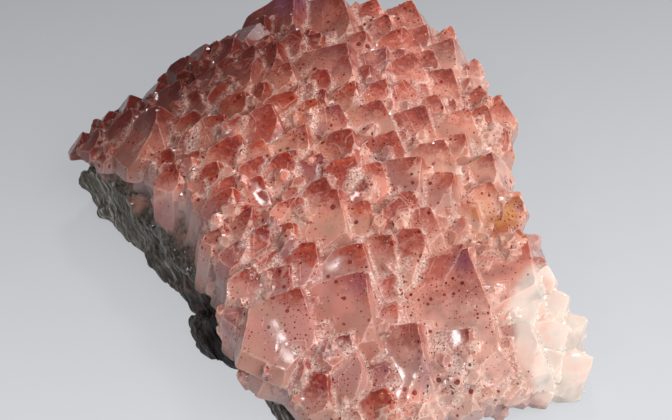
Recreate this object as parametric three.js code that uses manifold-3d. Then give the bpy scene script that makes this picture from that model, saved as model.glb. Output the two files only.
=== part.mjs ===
// A strawberry quartz specimen: a druse of rhombohedral quartz crystals, tinted by hematite,
// grown together over the dark host rock that they still sit on.
// Lengths are in millimetres and angles in degrees. +Z is up, away from the flat cut under the rock.
import * as THREE from "three";
import { mergeVertices } from "three/addons/utils/BufferGeometryUtils.js";
import Module from "manifold-3d";

const wasm = await Module();
wasm.setup();

// ---- Driving dimensions ----
const TIP_HEIGHT = 27; // the highest crystal tips over the rest face
const SAG = { left: 0.0068, right: 0.0085, front: 0.0075, back: 0.0025 }; // how the tips fall, per mm
const CREST = { x: -2, y: -15 }; // where that fall begins
const RHOMB_TILT = 51.79; // quartz r and z faces against the plane across the crystal
const RIDGE_CUT = 0.27; // how far below the tip the z faces start on a three-sided point, per width
const BED_DEPTH = 5; // the milky bed between the crystals, below their tips
const PLATE = { x: -2, y: -11, halfWidth: 46, halfLength: 52 }; // the middle and the reach of the whole
const SEAT = { height: 11, follow: 0.42, swell: 1.6, pitch: 8 }; // the bedding under the quartz
const LEFT_RISE = { from: -16, slope: 0.13 }; // how that bedding climbs towards the left edge
const CONTACT_GAP = 0.3; // between the two solids along that bedding
const REST_CENTRE = { x: -2, y: -9 }; // middle of the rest face on the growth grid

// The plan of the crust on the growth grid, at its crystal tips and clockwise from the left corner.
const CRUST_PLAN = [
  [-44.5, 5], [-41, 10], [-33.5, 15], [-25, 21], [-17, 28], [-10.5, 34], [-3.5, 38.5], [6, 40],
  [14.5, 40], [20, 35.5], [24.6, 27], [27.2, 17], [31, 11], [30.4, 3], [28.4, -4], [27.5, -10],
  [30, -17], [32.5, -24], [36, -29], [40.5, -34.5], [42, -41], [39.5, -45], [33, -47.5],
  [26, -50.5], [18.5, -54.5], [10, -57.5], [3, -58.5], [-4, -55.5], [-9, -50.5], [-12.5, -44],
  [-15, -37], [-18.5, -30], [-19.5, -22.5], [-24, -16.5], [-30, -9], [-38, -2],
];

// The rock's own plan on the same grid, where the quartz sits on it, from the left corner.
const ROCK_PLAN = [
  [-45.2, 3], [-42.5, 9], [-33.5, 16], [-25, 22.5], [-12, 32], [2, 37], [14, 36.5], [22, 30],
  [26, 18], [30, 8], [27, -5], [26.5, -16], [31, -28], [37, -35], [37.5, -39.5], [31, -43],
  [24, -44.5], [17, -48.5], [8, -52.5], [-2, -55.5], [-8, -53.5], [-10.8, -48.5], [-13, -42],
  [-16.5, -37.5], [-20.5, -32.5], [-25, -26], [-29, -20], [-33, -14], [-37, -8], [-41.8, -1.6],
];

// Every row is one crystal: x and y of its tip, its width, the way its broad face looks
// (-90 is straight to the front, -180 to the left), how far it stands over its neighbours,
// and how even its six end faces are, from 0 for a three-sided point to 1 for a six-sided one.
const LEFT_CORNER = [
  [-44.6, 5.6, 5, -150, 0, 0.6], [-41, 3.6, 5.5, -135, 0.4, 0.5], [-39.5, 8, 5.5, -160, 0.6, 0.4],
  [-36.2, 10.5, 6.5, -150, 0.8, 0.3], [-35.4, 5, 6.5, -125, 0.8, 0.5], [-30, 1.2, 11, -152, 2, 0.6],
  [-26.5, -13, 6, -120, -0.6, 0.3], [-32, -5, 5, -110, -1.5, 0.4], [-38.5, 0, 4.5, -120, -1.5, 0.5],
  [-27, 9.8, 7, -130, 0.8, 0.2], [-23.5, 5.8, 4.5, -110, 0, 0.3], [-21, 12.3, 5, -140, 0.2, 0.5],
  [-31.4, 13, 5, -165, -0.2, 0.3], [-42.4, 8.2, 4, -170, -0.6, 0.5], [-28, -7.5, 5.5, -100, -1, 0.4],
  [-32.6, 9.4, 5, -140, 0, 0.6], [-24.4, 0.6, 5, -80, -0.2, 0.4], [-30.4, -9.6, 4.5, -130, -1.6, 0.5],
];
const BACK_LEFT = [
  [-26, 18.2, 5, -144, 0.6, 0.4], [-23, 20, 7, -154, 1, 0.1], [-20.6, 19.2, 5, -124, 0.2, 0.6],
  [-23, 16.4, 4.5, -84, 0, 0.4], [-18, 20.4, 7, -149, 1.2, 0.2], [-14.2, 25, 7, -154, 1, 0.1],
  [-14.3, 17.3, 5, -128, 0.8, 0.7], [-14.5, 11.4, 9, -132, 1.2, 0.3], [-15.5, 3.2, 5, -109, 0, 0.2],
  [-18, 24, 4.5, -154, -0.6, 0.3], [-8, 35.2, 15, -134, 2.4, 0.1], [-8, 11, 5.5, -114, 0.2, 0.3],
  [-10.4, 18, 7, -126, 0.4, 0.6], [-18.5, 7.2, 5.5, -84, 0, 0.4], [-13, 30, 5, -140, 0.4, 0.3],
  [-6.4, 22, 5.5, -110, 0, 0.5],
];
const BACK_RIGHT = [
  [1, 34, 13, -126, 2.6, 0.2], [7, 36, 6, -96, 0.8, 0.5], [14.6, 36.6, 10.5, -122, 1.6, 0.1],
  [21.2, 31.3, 5, -86, 0.6, 0.6], [21.2, 24.6, 10, -124, 1.4, 0.1], [25, 21.6, 4.5, -66, 0.2, 0.5],
  [2, 15.3, 12.5, -130, 1.6, 0.2], [8.7, 15.7, 6, -118, 0.4, 0.1], [13.5, 15, 8, -74, 1, 0.2],
  [20.2, 13.6, 8, -118, 0.8, 0.1], [8.5, 5.6, 5, -106, 0, 0.4], [12, 7.4, 5.5, -86, 0, 0.2],
  [3.3, 4.5, 4.5, -116, -0.2, 0.6], [25.6, 12.4, 5.5, -81, 0, 0.3], [28.8, 9.4, 8, -84, 1.2, 0.1],
  [12.5, 26.5, 7.5, -91, 0, 0.3], [5.5, 23.5, 6, -130, -0.2, 0.6], [17, 20, 6, -111, 0, 0.4],
  [9.5, 30, 5.5, -96, 0, 0.5], [16.4, 29.6, 6, -118, 0.2, 0.3],
];
const MIDDLE = [
  [-7.5, 1, 5.5, -112, 0.4, 0.3], [-11, -3.2, 7.5, -121, 0.8, 0.5], [-15.5, -10.2, 6.5, -116, 0.2, 0.4],
  [-11.6, -11.6, 5, -101, 0, 0.2], [-19.6, -15.4, 6.5, -126, 0.3, 0.6], [-22.4, -11.6, 5, -136, -0.4, 0.4],
  [-12, -15.8, 5, -101, 0, 0.2], [-7.5, -16, 5.5, -111, 0.2, 0.5], [-2.4, -16.3, 6, -101, 0.2, 0.2],
  [-3.5, -1.4, 6, -116, 0.2, 0.6], [0.4, -2.4, 6, -98, 0, 0.3], [7.5, -1.2, 8.5, -108, 0.9, 0.1],
  [15, -0.6, 9, -114, 0.9, 0.1], [9.7, -9.5, 7, -118, 0.6, 0.3], [2.8, -17.3, 6, -86, 0.4, 0.2],
  [7.5, -17.6, 6.5, -111, 0.3, 0.2], [13.8, -15.6, 9, -128, 1, 0.2], [19, -17.4, 8.5, -124, 1, 0.6],
  [22.5, 1.8, 10, -104, 0.8, 0.1], [17.5, 4.6, 5.5, -111, 0, 0.4], [27, 0.4, 5, -106, 0.2, 0.5],
  [28.8, -0.4, 5.5, -98, 0.8, 0.3], [25.8, -9.2, 8, -111, 1, 0.2], [25.4, -16, 6, -86, 0.4, 0.4],
  [-5, -8, 6.5, -104, -0.2, 0.3], [2.5, -9.5, 7, -124, 0.2, 0.5], [-19, -3.5, 7.5, -126, 0.2, 0.4],
  [-23.5, -4, 5, -96, -0.6, 0.3], [18, -8.5, 7, -104, 0.2, 0.3], [21.6, -4.4, 5, -126, -0.2, 0.5],
  [-1.8, 8.6, 6, -86, -0.2, 0.5], [26, 6, 5, -86, -0.2, 0.4], [-12, 5.6, 5.5, -131, -0.2, 0.5],
  [-15.4, -4.4, 5, -90, 0, 0.4], [12.4, -22.6, 4.5, -110, -0.2, 0.4], [5.6, 10.4, 5, -128, 0, 0.4],
];
const LOWER_LEFT = [
  [-16.7, -23, 6, -123, 0.2, 0.6], [-13.6, -27.2, 6.5, -128, 0.2, 0.6], [-11, -23.4, 5, -103, 0, 0.2],
  [-5.4, -25.8, 7, -82, 0.6, 0.3], [-10.8, -30.6, 5.5, -108, 0, 0.5], [-14.2, -32.4, 5, -128, -0.4, 0.4],
  [-6.8, -31, 6, -123, 0.2, 0.5], [-9.6, -35, 5, -83, -0.2, 0.3], [-12.4, -37.4, 7, -98, 0, 0.2],
  [-3.6, -34.6, 6.5, -116, 0.4, 0.5], [-7, -38, 6, -113, 0, 0.3], [-14, -42, 5, -118, -1, 0.3],
  [0.6, -25.3, 9.5, -114, 1.4, 0.1], [5, -26, 5.5, -108, 0.2, 0.1], [10.3, -25, 6, -76, 0.2, 0.3],
  [-16.6, -19, 5, -108, -0.4, 0.4], [-1.6, -21, 5, -103, -0.4, 0.3], [4.8, -21.6, 5, -128, -0.4, 0.5],
  [-17.6, -28.4, 4.5, -130, -0.8, 0.5], [-12.2, -19.6, 4.5, -90, -0.3, 0.5],
];
const FRONT = [
  [20.6, -34.4, 17.5, -114, 2.6, 0.05], [4, -34.6, 9, -114, 0.9, 0.3],
  [13.2, -30.8, 9.5, -122, 1.2, 0.6], [8.8, -31.6, 6.5, -122, 0.2, 0.2],
  [14.8, -25.8, 6, -106, 0.5, 0.1], [9.6, -37.4, 5, -96, -0.2, 0.4],
  [4.4, -40.2, 13, -122, 1.6, 0.25], [-5.6, -42.3, 11.5, -112, 1, 0.15],
  [12.6, -47, 12.5, -122, 1.8, 0.5], [20.3, -47.4, 9.5, -116, 1.4, 0.75],
  [2.2, -49.6, 10.5, -112, 1.6, 0.45], [30.3, -42.8, 9.5, -118, 1.6, 0.7],
  [13.8, -54, 7, -130, 0.4, 0.4], [-5.5, -50.6, 7, -115, 0.4, 0.4], [8, -52.2, 6, -96, 0, 0.3],
  [30.6, -26.4, 14, -126, 1.6, 0.05], [20.4, -31.2, 5.5, -136, 0.2, 0.6],
  [27.6, -24, 8.5, -118, 0.4, 0.05], [22.6, -21.4, 6, -106, -0.4, 0.3],
  [30, -17.4, 5, -86, 1.4, 0.5], [34, -29.4, 4.5, -81, 0.6, 0.5], [26.6, -35.8, 7, -110, -0.6, 0.3],
  [25.4, -47.6, 6.5, -106, 0, 0.5], [-8.8, -49.4, 5.5, -126, -0.6, 0.4],
  [-10.6, -45.6, 5.5, -136, -0.6, 0.4], [7.4, -55.4, 6.5, -91, 0, 0.4], [-1.4, -54, 7, -106, 0, 0.3],
  [20, -52, 7, -96, 0, 0.4], [27.6, -46.6, 7, -101, -0.2, 0.3], [-1.2, -46.2, 5, -101, -0.6, 0.4],
  [17.2, -41.4, 5, -100, -1.6, 0.3], [9.2, -42.4, 4.5, -85, -0.8, 0.5],
];
const MILKY_CORNER = [
  [32.6, -33, 6, -120, 0.4, 0.3], [36.2, -31.8, 6, -150, 0.4, 0.5], [38, -34, 7, -140, 0.8, 0.3],
  [40.2, -36, 7, -150, 1, 0.5], [32, -37, 8, -130, 0.4, 0.2], [37, -39, 9, -120, 0.6, 0.2],
  [40.6, -41.8, 9, -130, 1.4, 0.5], [35.4, -43, 9.5, -115, 0.4, 0.2], [31.8, -45.6, 6.5, -125, -0.4, 0.4],
  [37.4, -44, 6, -120, -0.6, 0.5], [25, -49, 6, -120, -0.6, 0.5],
];

// The groups, with how far crystals fan outwards at the edge and how far all of them slant right.
const GROUPS = [
  { rows: LEFT_CORNER, fan: 22, slant: 0 },
  { rows: BACK_LEFT, fan: 12, slant: 4 },
  { rows: BACK_RIGHT, fan: 6, slant: 9 },
  { rows: MIDDLE, fan: 10, slant: 9 },
  { rows: LOWER_LEFT, fan: 14, slant: 8 },
  { rows: FRONT, fan: 10, slant: 9 },
  { rows: MILKY_CORNER, fan: 26, slant: 12 },
];

// Small crystals that fill what the placed ones leave open.
const FILL = {
  pitch: 3.6, jitter: 1.1, clear: 0.37, across: [2.8, 4.6], drop: [0.7, 1.9], turn: [-150, -70],
  even: [0.1, 0.7], fan: 10, slant: 7,
};

// Within this width along the edge, crystals stay nearly as wide as given and their prisms stand
// inwards of the tips. The inner ones broaden by more, until they meet.
const EDGE = { wide: 9, across: 1.1, inward: 0.24 };
const INNER_ACROSS = 1.38;
const ROOT_DEPTH = 4; // how far every crystal runs on below the rest face before the crust is cut
const LEAN_SPREAD = 3; // how much the lean of single crystals differs from their group's

// The milky bed: the ribs on its sides, how deep they are, and how far it stays behind the tips.
const BED = { ribs: 76, rib: 1.1, shoulder: 2.5 };

// Its side rings from the bedding up: the share of the way from the rock's plan to the crust's,
// how far inside that the ring stays, and the share of the height up to the bed's top.
const BED_SIDE = [
  { out: 0, inset: 0, up: 0.15 },
  { out: 0.55, inset: 0.3, up: 0.65 },
  { out: 1, inset: BED.shoulder, up: 1 },
];

// The rock: facets around its side, and how far its slab reaches over the bedding before it is cut.
const ROCK = { facets: 52, over: 3 };

// Its lumps, given as x, y, z and size, and what one lump is cut with.
const ROCK_LUMPS = [
  [-18.4, -34, 3.5, 4.6], [-15, -36, 3.2, 4], [-20.6, -32.6, 3, 3.6], [-42.2, 2, 4.5, 2.8],
];
const LUMP = { faces: 11, turn: 22, tip: 9, reach: [0.72, 1] };
const GOLDEN_ANGLE = 137.5;

const SHADES = {
  quartz: { color: 0xc98378, roughness: 0.28, metalness: 0 },
  rock: { color: 0x5c5a52, roughness: 0.85, metalness: 0 },
};

// ---- Small helpers ----
const radians = THREE.MathUtils.degToRad;
const random = seeded(7);

// A repeatable stream of numbers from 0 to 1.
function seeded(start) {
  let state = start;
  return () => {
    state = (state * 16807) % 2147483647;
    return state / 2147483647;
  };
}

function between(low, high) {
  return low + (high - low) * random();
}

// The height of the crystal tips over the growth grid: a low dome.
function tipHeight(x, y) {
  const across = x < CREST.x ? SAG.left : SAG.right;
  const front = Math.max(CREST.y - y, 0);
  const back = Math.max(y - CREST.y, 0);
  return TIP_HEIGHT - across * (x - CREST.x) ** 2 - SAG.front * front ** 2 - SAG.back * back ** 2;
}

// The height of the bedding between the rock and the quartz.
function seatHeight(x, y) {
  const dome = (tipHeight(x, y) - TIP_HEIGHT) * SEAT.follow;
  const climb = Math.max(LEFT_RISE.from - x, 0) * LEFT_RISE.slope;
  const broad = Math.sin(x / 4.8 + 1.1) * Math.cos(y / 5.9 - 0.6);
  const narrow = Math.sin(x / 2.3 - y / 2.6);
  return SEAT.height + dome + climb + SEAT.swell * (broad + narrow / 2);
}

// A closed BufferGeometry as a manifold solid.
function solidFrom(geometry) {
  geometry.deleteAttribute("normal");
  geometry.deleteAttribute("uv");
  const merged = mergeVertices(geometry, 1e-4);
  return new wasm.Manifold(
    new wasm.Mesh({
      numProp: 3,
      vertProperties: merged.attributes.position.array,
      triVerts: new Uint32Array(merged.index.array),
    }),
  );
}

// A manifold solid as a named, shaded mesh.
function meshFrom(name, solid, shade) {
  const made = solid.getMesh();
  const geometry = new THREE.BufferGeometry();
  geometry.setAttribute("position", new THREE.Float32BufferAttribute(made.vertProperties, 3));
  geometry.setIndex(new THREE.Uint32BufferAttribute(made.triVerts, 1));
  const material = new THREE.MeshStandardMaterial({ ...shade, flatShading: true });
  const mesh = new THREE.Mesh(geometry.toNonIndexed(), material);
  mesh.geometry.computeVertexNormals();
  mesh.name = name;
  return mesh;
}

function joined(solids) {
  let layer = solids;
  while (layer.length > 1) {
    const next = [];
    for (let i = 0; i < layer.length; i += 2) {
      next.push(i + 1 < layer.length ? layer[i].add(layer[i + 1]) : layer[i]);
    }
    layer = next;
  }
  return layer[0];
}

// The outer surface of a solid alone: pores that nothing can see, and loose slivers, are left out.
function soundBody(solid) {
  return solid.decompose().reduce((best, body) => (body.volume() > best.volume() ? body : best));
}

// A box cut down by planes. Each plane is a unit normal and how far it lies from the middle.
function cutBox(size, planes) {
  let solid = solidFrom(new THREE.BoxGeometry(size, size, size));
  for (const { normal, reach } of planes) {
    solid = solid.trimByPlane([-normal.x, -normal.y, -normal.z], -reach);
  }
  return solid;
}

function direction(azimuth, tilt) {
  const a = radians(azimuth);
  const t = radians(tilt);
  return new THREE.Vector3(Math.sin(t) * Math.cos(a), Math.sin(t) * Math.sin(a), Math.cos(t));
}

// ---- Crystals ----
// A quartz crystal hanging down from its tip at the origin: three broad r faces meet at the tip,
// three small z faces cut the ridges between them, and six m faces make the prism.
function crystal({ across, turn, length, inward, even }) {
  const planes = [];
  for (let k = 0; k < 3; k += 1) {
    planes.push({ normal: direction(turn + 120 * k, RHOMB_TILT), reach: 0 });
    const cut = RIDGE_CUT * (1 - even) * across * between(0.8, 1.2);
    planes.push({ normal: direction(turn + 60 + 120 * k, RHOMB_TILT), reach: cut });
  }
  for (let k = 0; k < 6; k += 1) {
    const normal = direction(turn + 60 * k, 90);
    const reach = (across / 2) * between(0.9, 1.08) + normal.dot(inward);
    planes.push({ normal, reach });
  }
  planes.push({ normal: new THREE.Vector3(0, 0, -1), reach: length });
  return cutBox(2 * length + 2, planes);
}

// The way from the middle of the plate to a place on it, about 1 long at the edge.
function outwards(x, y) {
  const way = new THREE.Vector3((x - PLATE.x) / PLATE.halfWidth, (y - PLATE.y) / PLATE.halfLength, 0);
  return way.clampLength(0, 1.1);
}

// A crystal on the plate. Inner ones broaden until they meet. Those along the edge keep their own
// width, and their prism stands inwards of the tip.
function placeCrystal([x, y, across, turn, rise, even], { fan, slant }) {
  const tip = new THREE.Vector3(x, y, tipHeight(x, y) + rise);
  const out = outwards(x, y);
  const inner = Math.min(edgeDistance(x, y) / EDGE.wide, 1);
  const solid = crystal({
    across: across * (EDGE.across + (INNER_ACROSS - EDGE.across) * inner),
    turn,
    length: tip.z + ROOT_DEPTH,
    inward: out.clone().setLength(-EDGE.inward * across * (1 - inner)),
    even,
  });
  const fanned = Math.tan(radians(fan + between(-LEAN_SPREAD, LEAN_SPREAD)));
  const slanted = Math.tan(radians(slant + between(-LEAN_SPREAD, LEAN_SPREAD)));
  const up = new THREE.Vector3(0, 0, 1);
  const axis = up.clone().addScaledVector(out, fanned).setX(out.x * fanned + slanted);
  const pose = new THREE.Quaternion().setFromUnitVectors(up, axis.normalize());
  return solid.transform(new THREE.Matrix4().compose(tip, pose, new THREE.Vector3(1, 1, 1)).elements);
}

// How far a ray from the middle of the rest face, towards an angle, runs to a plan's outline.
function reachTo(plan, angle) {
  const ux = Math.cos(angle);
  const uy = Math.sin(angle);
  let reach = 0;
  plan.forEach(([x, y], i) => {
    const [nx, ny] = plan[(i + 1) % plan.length];
    const ax = x - REST_CENTRE.x;
    const ay = y - REST_CENTRE.y;
    const ex = nx - x;
    const ey = ny - y;
    const turn = ux * ey - uy * ex;
    const along = (ax * ey - ay * ex) / turn;
    const share = (ax * uy - ay * ux) / turn;
    if (along > 0 && share >= 0 && share <= 1) reach = Math.max(reach, along);
  });
  return reach;
}

function edgeDistance(x, y) {
  const dx = x - REST_CENTRE.x;
  const dy = y - REST_CENTRE.y;
  return Math.max(reachTo(CRUST_PLAN, Math.atan2(dy, dx)) - Math.hypot(dx, dy), 0);
}

function insidePlan(plan, x, y) {
  let inside = false;
  for (let i = 0, j = plan.length - 1; i < plan.length; j = i, i += 1) {
    const [xi, yi] = plan[i];
    const [xj, yj] = plan[j];
    if (yi > y !== yj > y && x < ((xj - xi) * (y - yi)) / (yj - yi) + xi) inside = !inside;
  }
  return inside;
}

// Rows of small crystals on a staggered grid, wherever no placed crystal is close.
function fillRows() {
  const placed = GROUPS.flatMap((group) => group.rows);
  const step = FILL.pitch * Math.cos(radians(30));
  const columns = Math.ceil(PLATE.halfWidth / FILL.pitch);
  const lines = Math.ceil(PLATE.halfLength / step);
  const rows = [];
  for (let line = -lines; line <= lines; line += 1) {
    for (let column = -columns; column <= columns; column += 1) {
      const x = PLATE.x + (column + (line % 2) / 2) * FILL.pitch + between(-FILL.jitter, FILL.jitter);
      const y = PLATE.y + line * step + between(-FILL.jitter, FILL.jitter);
      const across = between(...FILL.across);
      const drop = between(...FILL.drop);
      const turn = between(...FILL.turn);
      const even = between(...FILL.even);
      const near = ([px, py, width]) => Math.hypot(px - x, py - y) < FILL.clear * (width + across);
      if (insidePlan(CRUST_PLAN, x, y) && !placed.some(near)) {
        rows.push([x, y, across, turn, -drop, even]);
      }
    }
  }
  return rows;
}

// ---- Slabs ----
// A closed solid through rings of points, all with the same count, from the lowest ring to the
// innermost one on top. Both ends close onto a point of their own.
function slab(rings, lowest, highest) {
  const count = rings[0].length;
  const positions = [...rings.flat(), lowest, highest].flatMap((p) => [p.x, p.y, p.z]);
  const bottom = rings.length * count;
  const top = bottom + 1;
  const index = [];
  for (let i = 0; i < count; i += 1) {
    const next = (i + 1) % count;
    const last = (rings.length - 1) * count;
    index.push(bottom, next, i, top, last + i, last + next);
    for (let ring = 0; ring < rings.length - 1; ring += 1) {
      const a = ring * count;
      const b = a + count;
      index.push(a + i, a + next, b + i, a + next, b + next, b + i);
    }
  }
  const geometry = new THREE.BufferGeometry();
  geometry.setAttribute("position", new THREE.Float32BufferAttribute(positions, 3));
  geometry.setIndex(index);
  return solidFrom(geometry);
}

// A ring of points round the middle of the rest face: reachAt and heightAt work from the angle
// and, for the height, from the place that the reach gives.
function ringOf(count, reachAt, heightAt) {
  return Array.from({ length: count }, (_, i) => {
    const angle = (i / count) * 2 * Math.PI;
    const reach = reachAt(angle, i);
    const x = REST_CENTRE.x + reach * Math.cos(angle);
    const y = REST_CENTRE.y + reach * Math.sin(angle);
    return new THREE.Vector3(x, y, heightAt(x, y));
  });
}

// The milky quartz under and between the crystals. Its sides carry the ribs of grown-together
// columns, and flare from the tips to the rock.
function milkyBed() {
  const rib = Array.from({ length: BED.ribs }, () => between(-BED.rib, BED.rib));
  const side = (share, inset) => (angle, i) => {
    const low = reachTo(ROCK_PLAN, angle);
    const high = reachTo(CRUST_PLAN, angle);
    return low + (high - low) * share - inset + rib[i];
  };
  const top = (share) => (angle) => (reachTo(CRUST_PLAN, angle) - BED.shoulder) * share;
  const rise = (share) => (x, y) => {
    const low = seatHeight(x, y);
    return low + (tipHeight(x, y) - BED_DEPTH - low) * share;
  };
  const rings = [
    ringOf(BED.ribs, side(0, 0), () => 0),
    ...BED_SIDE.map(({ out, inset, up }) => ringOf(BED.ribs, side(out, inset), rise(up))),
    ringOf(BED.ribs, top(2 / 3), rise(1)),
    ringOf(BED.ribs, top(1 / 3), rise(1)),
  ];
  const middle = new THREE.Vector3(REST_CENTRE.x, REST_CENTRE.y, 0);
  const crown = middle.clone().setZ(tipHeight(middle.x, middle.y) - BED_DEPTH);
  return slab(rings, middle, crown);
}

// Everything above the bedding, lifted by a little, as one block.
function aboveSeat(lift) {
  const width = 2 * PLATE.halfWidth + 2 * SEAT.pitch;
  const length = 2 * PLATE.halfLength + 2 * SEAT.pitch;
  const height = 2 * TIP_HEIGHT;
  const columns = Math.ceil(width / SEAT.pitch);
  const lines = Math.ceil(length / SEAT.pitch);
  const geometry = new THREE.BoxGeometry(width, length, height, columns, lines, 1);
  geometry.translate(PLATE.x, PLATE.y, height / 2);
  const position = geometry.attributes.position;
  for (let i = 0; i < position.count; i += 1) {
    const isUnder = position.getZ(i) < height / 2;
    if (isUnder) position.setZ(i, seatHeight(position.getX(i), position.getY(i)) + lift);
  }
  return solidFrom(geometry);
}

// ---- The two pieces ----
function quartzCrust() {
  const crystals = GROUPS.flatMap((group) => group.rows.map((row) => placeCrystal(row, group)));
  crystals.push(...fillRows().map((row) => placeCrystal(row, FILL)));
  return soundBody(joined([milkyBed(), ...crystals]).intersect(aboveSeat(CONTACT_GAP)));
}

// An angular lump of broken rock, its faces spread round it on a spiral.
function lump([x, y, z, size]) {
  const planes = [];
  for (let i = 0; i < LUMP.faces; i += 1) {
    const up = 1 - (2 * i + 1) / LUMP.faces;
    const azimuth = i * GOLDEN_ANGLE + between(-LUMP.turn, LUMP.turn);
    const tilt = THREE.MathUtils.radToDeg(Math.acos(up)) + between(-LUMP.tip, LUMP.tip);
    planes.push({ normal: direction(azimuth, tilt), reach: size * between(...LUMP.reach) });
  }
  return cutBox(4 * size, planes).translate(x, y, z);
}

// The rock: a slab with broken, stepped sides, and lumps along its edge.
function hostRock() {
  const side = (inset, depth) => (angle) => reachTo(ROCK_PLAN, angle) - inset + between(-depth, depth);
  const inside = (share) => (angle) => reachTo(ROCK_PLAN, angle) * share;
  const upTo = (share) => (x, y) => seatHeight(x, y) * share * between(0.85, 1.15);
  const over = (x, y) => seatHeight(x, y) + ROCK.over;
  const rings = [
    ringOf(ROCK.facets, side(1.2, 0.9), () => 0),
    ringOf(ROCK.facets, side(0, 1.3), upTo(0.28)),
    ringOf(ROCK.facets, side(0.9, 1.1), upTo(0.62)),
    ringOf(ROCK.facets, side(0.4, 0.6), over),
    ringOf(ROCK.facets, inside(0.6), over),
  ];
  const middle = new THREE.Vector3(REST_CENTRE.x, REST_CENTRE.y, 0);
  const crown = middle.clone().setZ(over(middle.x, middle.y));
  const rock = joined([slab(rings, middle, crown), ...ROCK_LUMPS.map(lump)]);
  return soundBody(rock.trimByPlane([0, 0, 1], 0).subtract(aboveSeat(0)));
}

const specimen = new THREE.Group();
specimen.name = "strawberry_quartz";
specimen.position.set(-REST_CENTRE.x, -REST_CENTRE.y, 0);
specimen.add(meshFrom("quartz_crust", quartzCrust(), SHADES.quartz));
specimen.add(meshFrom("host_rock", hostRock(), SHADES.rock));

export default specimen;
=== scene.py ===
"""A strawberry quartz specimen: hematite-tinted quartz crystals grown together over dark host rock.

Sizes are in millimetres until they reach a mesh, a light or the camera, which take metres.
"""

import math

import bmesh
import bpy
import numpy as np
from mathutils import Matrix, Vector


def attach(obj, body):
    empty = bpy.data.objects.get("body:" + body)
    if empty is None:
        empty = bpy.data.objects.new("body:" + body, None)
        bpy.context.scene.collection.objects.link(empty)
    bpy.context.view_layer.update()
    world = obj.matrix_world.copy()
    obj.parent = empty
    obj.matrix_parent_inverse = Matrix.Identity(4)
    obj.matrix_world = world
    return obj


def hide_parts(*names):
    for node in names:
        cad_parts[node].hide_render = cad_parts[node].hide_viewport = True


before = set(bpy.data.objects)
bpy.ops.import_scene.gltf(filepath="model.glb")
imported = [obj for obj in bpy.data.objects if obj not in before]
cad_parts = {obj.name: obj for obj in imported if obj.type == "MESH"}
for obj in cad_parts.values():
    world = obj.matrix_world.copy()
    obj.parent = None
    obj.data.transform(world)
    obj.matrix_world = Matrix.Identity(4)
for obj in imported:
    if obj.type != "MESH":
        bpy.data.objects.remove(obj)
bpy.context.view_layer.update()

MM = 0.001
rng = np.random.default_rng(11)

# ---- Driving dimensions, in millimetres and degrees ----
VIEW = {
    "target": (2.0, -9.0, 16.2), "distance": 308.0, "elevation": 42.0, "lens": 100.0, "sensor": 36.0,
}
CREST = (0.0, -6.0)  # where the dome of crystal tips is highest
TIP_HEIGHT = 27.0
SAG = {"left": 0.0068, "right": 0.0085, "front": 0.0075, "back": 0.0025}

# Every row is one crystal: x and y of its tip, its width, the way its broad face looks (-90 is
# straight to the front, -180 to the left), how far it stands over its neighbours, and how even its
# six end faces are, from 0 for a three-sided point to 1 for a six-sided one.
LEFT_CORNER = [
    (-42.6, 14.6, 5, -150, 0, 0.6), (-39, 12.6, 5.5, -135, 0.4, 0.5), (-37.5, 17, 5.5, -160, 0.6, 0.4),
    (-34.2, 19.5, 6.5, -150, 0.8, 0.3), (-33.4, 14, 6.5, -125, 0.8, 0.5), (-28, 10.2, 11, -152, 2, 0.6),
    (-24.5, -4, 6, -120, -0.6, 0.3), (-30, 4, 5, -110, -1.5, 0.4), (-36.5, 9, 4.5, -120, -1.5, 0.5),
    (-25, 18.8, 7, -130, 0.8, 0.2), (-21.5, 14.8, 4.5, -110, 0, 0.3), (-19, 21.3, 5, -140, 0.2, 0.5),
    (-29.4, 22, 5, -165, -0.2, 0.3), (-40.4, 17.2, 4, -170, -0.6, 0.5), (-26, 1.5, 5.5, -100, -1, 0.4),
    (-30.6, 18.4, 5, -140, 0, 0.6), (-22.4, 9.6, 5, -80, -0.2, 0.4), (-28.4, -0.6, 4.5, -130, -1.6, 0.5),
]
BACK_LEFT = [
    (-24, 27.2, 5, -144, 0.6, 0.4), (-21, 29, 7, -154, 1, 0.1), (-18.6, 28.2, 5, -124, 0.2, 0.6),
    (-21, 25.4, 4.5, -84, 0, 0.4), (-16, 29.4, 7, -149, 1.2, 0.2), (-12.2, 34, 7, -154, 1, 0.1),
    (-12.3, 26.3, 5, -128, 0.8, 0.7), (-12.5, 20.4, 9, -132, 1.2, 0.3), (-13.5, 12.2, 5, -109, 0, 0.2),
    (-16, 33, 4.5, -154, -0.6, 0.3), (-6, 44.2, 15, -134, 2.4, 0.1), (-6, 20, 5.5, -114, 0.2, 0.3),
    (-8.4, 27, 7, -126, 0.4, 0.6), (-16.5, 16.2, 5.5, -84, 0, 0.4), (-11, 39, 5, -140, 0.4, 0.3),
    (-4.4, 31, 5.5, -110, 0, 0.5),
]
BACK_RIGHT = [
    (3, 43, 13, -126, 2.6, 0.2), (9, 45, 6, -96, 0.8, 0.5), (16.6, 45.6, 10.5, -122, 1.6, 0.1),
    (23.2, 40.3, 5, -86, 0.6, 0.6), (23.2, 33.6, 10, -124, 1.4, 0.1), (27, 30.6, 4.5, -66, 0.2, 0.5),
    (4, 24.3, 12.5, -130, 1.6, 0.2), (10.7, 24.7, 6, -118, 0.4, 0.1), (15.5, 24, 8, -74, 1, 0.2),
    (22.2, 22.6, 8, -118, 0.8, 0.1), (10.5, 14.6, 5, -106, 0, 0.4), (14, 16.4, 5.5, -86, 0, 0.2),
    (5.3, 13.5, 4.5, -116, -0.2, 0.6), (27.6, 21.4, 5.5, -81, 0, 0.3), (30.8, 18.4, 8, -84, 1.2, 0.1),
    (14.5, 35.5, 7.5, -91, 0, 0.3), (7.5, 32.5, 6, -130, -0.2, 0.6), (19, 29, 6, -111, 0, 0.4),
    (11.5, 39, 5.5, -96, 0, 0.5), (18.4, 38.6, 6, -118, 0.2, 0.3),
]
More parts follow.
